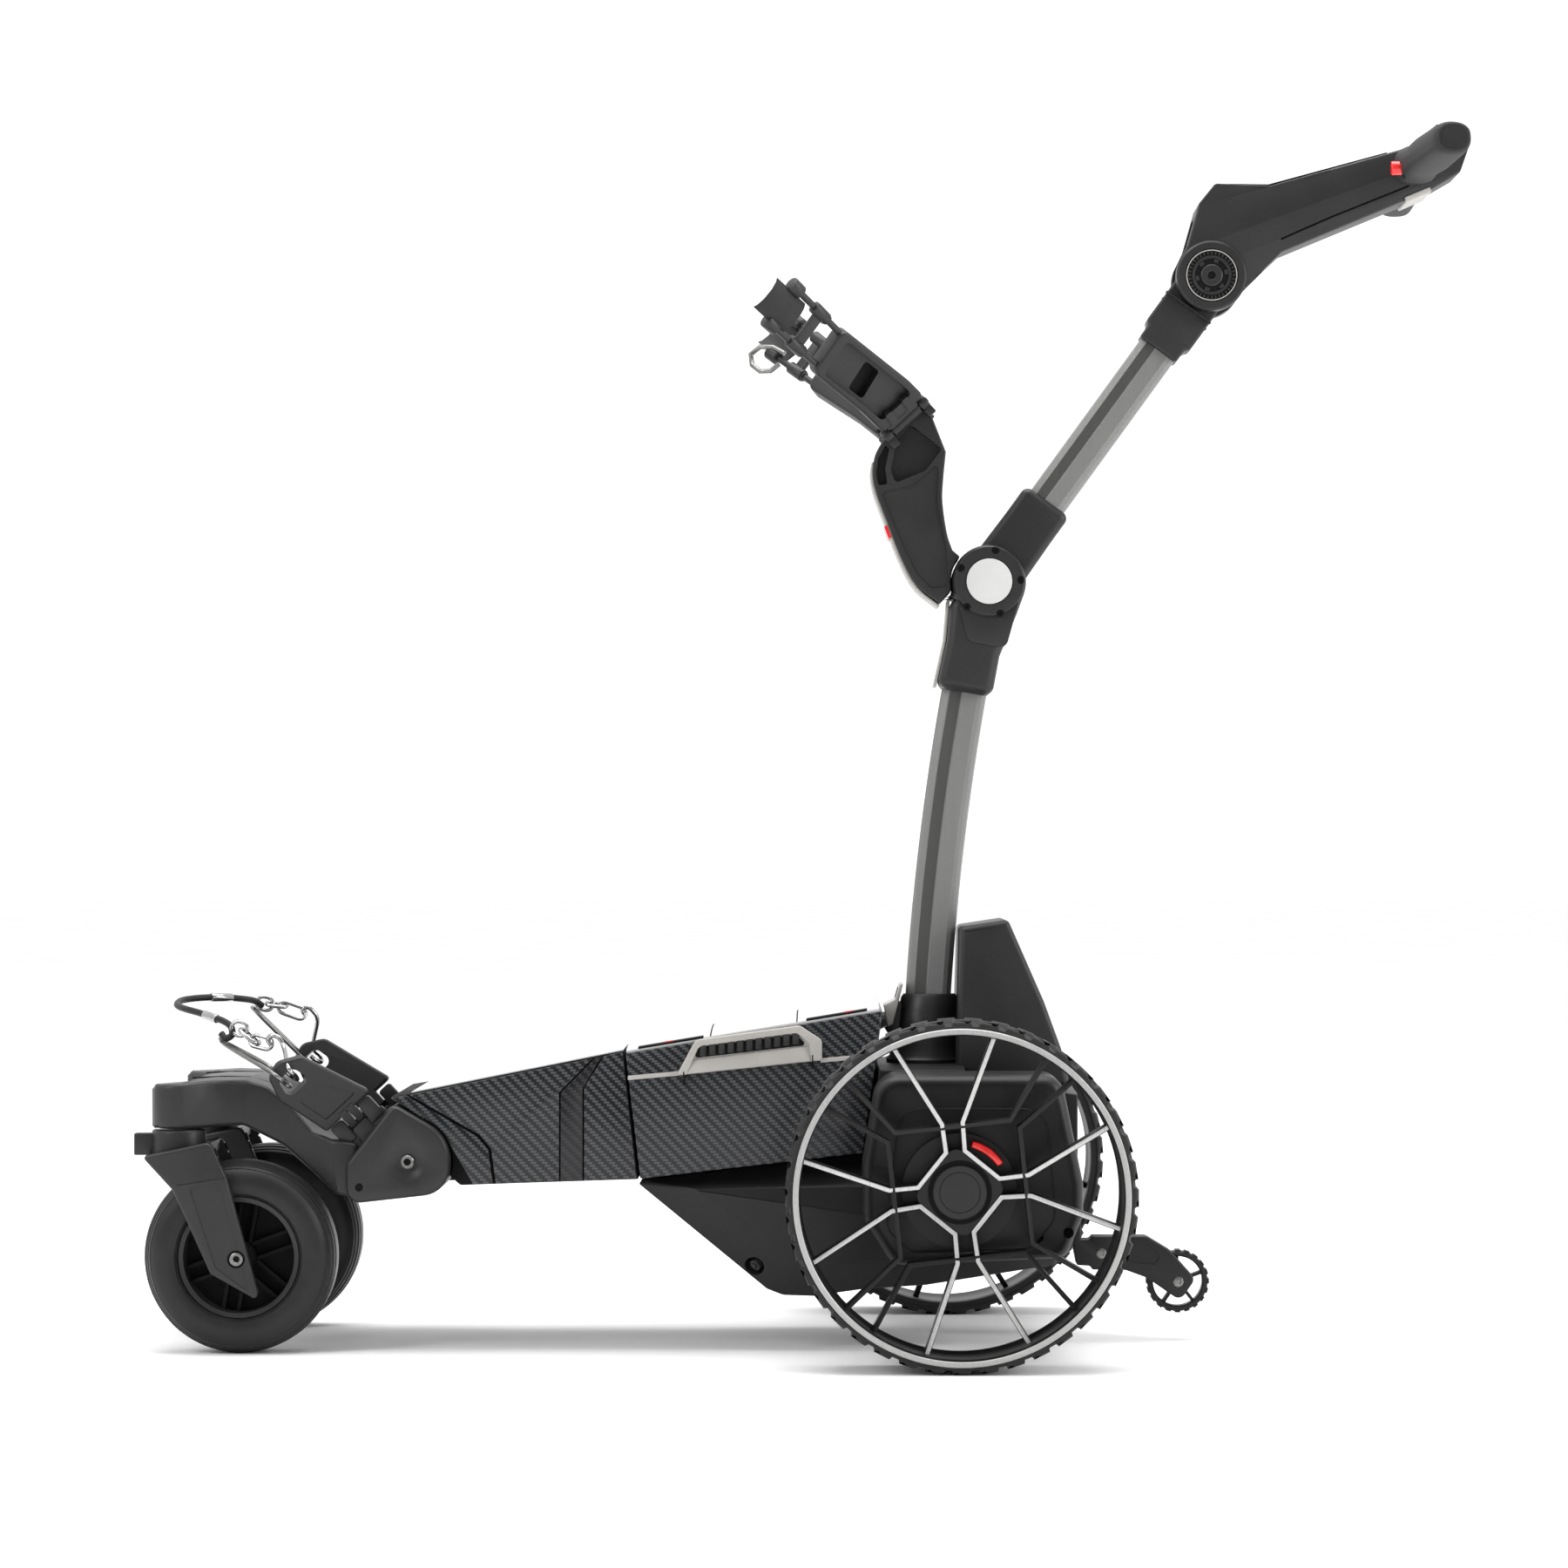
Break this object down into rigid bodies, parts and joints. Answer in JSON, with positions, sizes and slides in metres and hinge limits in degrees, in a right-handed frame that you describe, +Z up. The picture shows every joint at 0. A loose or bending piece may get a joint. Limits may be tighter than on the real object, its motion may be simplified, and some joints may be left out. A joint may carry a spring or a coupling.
{
  "type": "electric golf trolley",
  "caption": "Folding electric golf trolley with battery deck, hinged mast, T-handle, bag cradles, spoked drive wheels and swivelling front casters.",
  "frame": {"origin": "centre of the bounding box's base, on the floor", "axes": "+X to the rear, towards the handle; -X ahead, towards the casters; +Y to the right-hand side seen by a walker behind it, who looks along -X; +Z up"},
  "size_m": [1.1542, 0.585, 1.0568],
  "materials": {
    "carbon_shell": "satin carbon-weave lacquer",
    "black_plastic": "fine textured, dark",
    "grey_plastic": "fine textured, dark grey",
    "light_grey_plastic": "satin, warm light grey",
    "deck_plastic": "satin, pale grey",
    "mast_paint": "satin silver-grey powder coat",
    "tyre_rubber": "matt, moulded lugs",
    "grip_rubber": "matt, soft, ribbed",
    "steel": "machined, bright",
    "bright_wire": "polished",
    "cord_rubber": "smooth, round elastic cord",
    "red_plastic": "gloss, red",
    "motor_metal": "cast, matt",
    "cell_wrap": "smooth film wrap"
  },
  "bodies": {
    "chassis": {"chassis_hull": "black_plastic", "front_body_shell": "carbon_shell", "controller_box": "motor_metal", "motor_pod_left": "grey_plastic", "motor_pod_right": "grey_plastic", "drive_motor_left": "motor_metal", "drive_motor_right": "motor_metal", "rear_cowl": "grey_plastic", "mast_base_socket": "grey_plastic", "lower_mast_tube": "mast_paint", "joint_housing": "grey_plastic", "joint_cover_left": "black_plastic", "joint_cover_right": "black_plastic", "bag_bracket": "grey_plastic", "anti_tip_bar": "grey_plastic", "anti_tip_arm": "grey_plastic"},
    "anti_tip_roller_body": {"anti_tip_wheel": "tyre_rubber"},
    "battery": {"battery_case": "carbon_shell", "battery_cells": "cell_wrap", "battery_deck": "deck_plastic", "battery_bezel_left": "light_grey_plastic", "battery_bezel_right": "light_grey_plastic", "battery_grip_left": "grip_rubber", "battery_grip_right": "grip_rubber"},
    "battery_latch_body": {"battery_latch": "light_grey_plastic"},
    "front_arm": {"front_yoke": "grey_plastic", "pivot_cover_left": "black_plastic", "pivot_cover_right": "black_plastic", "fold_bolt": "steel", "bag_strap": "cord_rubber"},
    "upper_mast": {"upper_sleeve": "grey_plastic", "upper_mast_tube": "mast_paint", "handle_sleeve": "grey_plastic"},
    "handle": {"handle_body": "grey_plastic", "tilt_bolt": "steel", "handle_grip_left": "grip_rubber", "handle_grip_right": "grip_rubber"},
    "drive_button": {"drive_trigger": "red_plastic"},
    "paddle_left": {"cradle_paddle_left": "black_plastic", "strap_link_left": "bright_wire"},
    "caster_left": {"caster_fork_left": "grey_plastic"},
    "front_wheel_left": {"front_tyre_left": "tyre_rubber", "front_rim_left": "black_plastic"},
    "wheel_left": {"rear_tyre_left": "tyre_rubber", "rear_rim_left": "grey_plastic", "rear_hub_cap_left": "black_plastic", "drive_axle_left": "steel"},
    "release_left": {"wheel_release_left": "red_plastic"},
    "cradle_left": {"cradle_arm_left": "black_plastic"},
    "paddle_right": {"cradle_paddle_right": "black_plastic", "strap_link_right": "bright_wire"},
    "caster_right": {"caster_fork_right": "grey_plastic"},
    "front_wheel_right": {"front_tyre_right": "tyre_rubber", "front_rim_right": "black_plastic"},
    "wheel_right": {"rear_tyre_right": "tyre_rubber", "rear_rim_right": "grey_plastic", "rear_hub_cap_right": "black_plastic", "drive_axle_right": "steel"},
    "release_right": {"wheel_release_right": "red_plastic"},
    "cradle_right": {"cradle_arm_right": "black_plastic"}
  },
  "joints": [
    {"name": "anti_tip_roll", "type": "hinge", "parent": "chassis", "child": "anti_tip_roller_body", "pos_m": [0.32292, 0, 0.0514], "axis": [0, 1, 0], "continuous": true},
    {"name": "battery_lift", "type": "slide", "parent": "chassis", "child": "battery", "axis": [-0.117, 0, 0.9931], "range_m": [0, 0.12]},
    {"name": "battery_latch_slide", "type": "slide", "parent": "chassis", "child": "battery_latch_body", "axis": [0.2, 0, 0.9798], "range_m": [0, 0.008], "stiffness_N_per_m": 400, "springref_m": -0.003},
    {"name": "front_fold", "type": "hinge", "parent": "chassis", "child": "front_arm", "pos_m": [-0.34248, 0, 0.163], "axis": [0, 1, 0], "range_deg": [-90, 0]},
    {"name": "mast_fold", "type": "hinge", "parent": "chassis", "child": "upper_mast", "pos_m": [0.15732, 0, 0.6633], "axis": [0, 1, 0], "range_deg": [0, 88]},
    {"name": "handle_tilt", "type": "hinge", "parent": "upper_mast", "child": "handle", "pos_m": [0.35117, 0, 0.93011], "axis": [0, 1, 0], "range_deg": [-20, 30]},
    {"name": "drive_button_press", "type": "slide", "parent": "handle", "child": "drive_button", "axis": [1, 0, 0], "range_m": [0, 0.003], "stiffness_N_per_m": 400, "springref_m": -0.001},
    {"name": "cradle_swing_left", "type": "hinge", "parent": "chassis", "child": "cradle_left", "pos_m": [0.08392, -0.034, 0.805], "axis": [0.7314, 0, 0.682], "range_deg": [-30, 25]},
    {"name": "paddle_swing_left", "type": "hinge", "parent": "front_arm", "child": "paddle_left", "pos_m": [-0.39108, -0.1, 0.201], "axis": [0.7314, 0, 0.682], "range_deg": [0, 20]},
    {"name": "caster_swivel_left", "type": "hinge", "parent": "front_arm", "child": "caster_left", "pos_m": [-0.53908, -0.11, 0.18], "axis": [0, 0, 1], "continuous": true},
    {"name": "front_wheel_roll_left", "type": "hinge", "parent": "caster_left", "child": "front_wheel_left", "pos_m": [-0.48508, -0.11, 0.0824], "axis": [0, 1, 0], "continuous": true},
    {"name": "wheel_roll_left", "type": "hinge", "parent": "chassis", "child": "wheel_left", "pos_m": [0.12592, -0.25, 0.145], "axis": [0, 1, 0], "continuous": true},
    {"name": "wheel_release_left", "type": "hinge", "parent": "wheel_left", "child": "release_left", "pos_m": [0.12592, -0.218, 0.145], "axis": [0, 1, 0], "range_deg": [0, 10], "stiffness_Nm_per_rad": 0.4, "springref_deg": -2.86},
    {"name": "cradle_swing_right", "type": "hinge", "parent": "chassis", "child": "cradle_right", "pos_m": [0.08392, 0.034, 0.805], "axis": [0.7314, 0, 0.682], "range_deg": [-25, 30]},
    {"name": "paddle_swing_right", "type": "hinge", "parent": "front_arm", "child": "paddle_right", "pos_m": [-0.39108, 0.1, 0.201], "axis": [0.7314, 0, 0.682], "range_deg": [-20, 0]},
    {"name": "caster_swivel_right", "type": "hinge", "parent": "front_arm", "child": "caster_right", "pos_m": [-0.53908, 0.11, 0.18], "axis": [0, 0, 1], "continuous": true},
    {"name": "front_wheel_roll_right", "type": "hinge", "parent": "caster_right", "child": "front_wheel_right", "pos_m": [-0.48508, 0.11, 0.0824], "axis": [0, 1, 0], "continuous": true},
    {"name": "wheel_roll_right", "type": "hinge", "parent": "chassis", "child": "wheel_right", "pos_m": [0.12592, 0.25, 0.145], "axis": [0, 1, 0], "continuous": true},
    {"name": "wheel_release_right", "type": "hinge", "parent": "wheel_right", "child": "release_right", "pos_m": [0.12592, 0.218, 0.145], "axis": [0, 1, 0], "range_deg": [0, 10], "stiffness_Nm_per_rad": 0.4, "springref_deg": -2.86}
  ]
}
